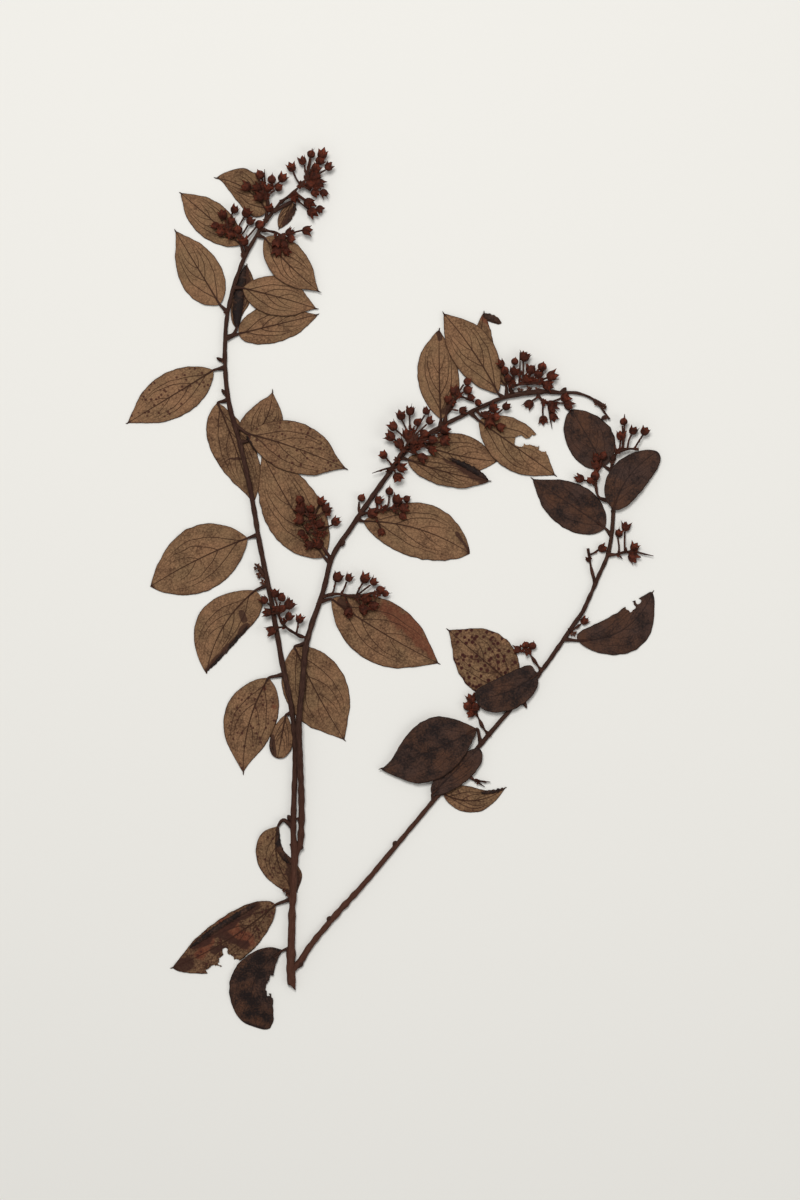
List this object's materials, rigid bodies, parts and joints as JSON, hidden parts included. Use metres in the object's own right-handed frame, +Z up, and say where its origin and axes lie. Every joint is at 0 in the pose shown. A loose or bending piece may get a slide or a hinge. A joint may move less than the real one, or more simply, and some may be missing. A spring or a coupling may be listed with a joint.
{
  "type": "pressed shrub branch",
  "caption": "Cut leafy branch of an evergreen shrub with short sprays of small dry fruits, pressed flat and dried, for display or study.",
  "frame": {"origin": "on the plane that the branch lies on, below the centre of its bounding box", "axes": "+Y from the cut foot of the stem towards its top, +X to the right of someone who looks down on the branch, +Z up from the plane it lies on"},
  "size_m": [0.2097, 0.3464, 0.0059],
  "materials": {
    "bark": "dry dark brown bark, finely ridged",
    "leaf_underside": "dry, dull tan brown with darker veins and dots",
    "leaf_upper_side": "dry, leathery dark brown with a faint sheen",
    "fruit": "dry, wrinkled reddish dark brown"
  },
  "bodies": {
    "root": {"main_stem": "bark", "middle_bough_lower": "bark", "middle_bough_upper": "bark", "right_bough_lower": "bark", "right_bough_upper": "bark", "main_leaf_01": "leaf_underside", "main_leaf_02": "leaf_underside", "main_leaf_03": "leaf_underside", "main_leaf_04": "leaf_underside", "main_leaf_05": "leaf_underside", "main_leaf_06": "leaf_underside", "main_leaf_07": "leaf_underside", "main_leaf_08": "leaf_underside", "main_leaf_09": "leaf_underside", "main_leaf_10": "leaf_underside", "main_leaf_11": "leaf_underside", "main_leaf_12": "leaf_underside", "main_leaf_13": "leaf_underside", "main_leaf_14": "leaf_underside", "main_leaf_15": "leaf_underside", "main_leaf_16": "leaf_underside", "main_leaf_17": "leaf_underside", "main_leaf_18": "leaf_underside", "main_leaf_19": "leaf_upper_side", "middle_leaf_01": "leaf_underside", "middle_leaf_02": "leaf_underside", "middle_leaf_03": "leaf_underside", "middle_leaf_04": "leaf_underside", "middle_leaf_05": "leaf_underside", "middle_leaf_06": "leaf_underside", "middle_leaf_07": "leaf_underside", "middle_leaf_08": "leaf_underside", "middle_leaf_09": "leaf_underside", "middle_leaf_10": "leaf_underside", "right_leaf_01": "leaf_underside", "right_leaf_02": "leaf_upper_side", "right_leaf_03": "leaf_upper_side", "right_leaf_04": "leaf_upper_side", "right_leaf_05": "leaf_underside", "right_leaf_06": "leaf_upper_side", "right_leaf_07": "leaf_upper_side", "right_leaf_08": "leaf_upper_side", "right_leaf_09": "leaf_upper_side", "main_raceme_01": "fruit", "main_raceme_02": "fruit", "main_raceme_03": "fruit", "main_raceme_04": "fruit", "middle_raceme_01": "fruit", "middle_raceme_02": "fruit", "middle_raceme_03": "fruit", "middle_raceme_04": "fruit", "middle_raceme_05": "fruit", "middle_raceme_06": "fruit", "middle_raceme_07": "fruit", "middle_raceme_08": "fruit", "middle_raceme_09": "fruit", "right_raceme_01": "fruit", "right_raceme_02": "fruit", "right_raceme_03": "fruit"}
  },
  "joints": []
}
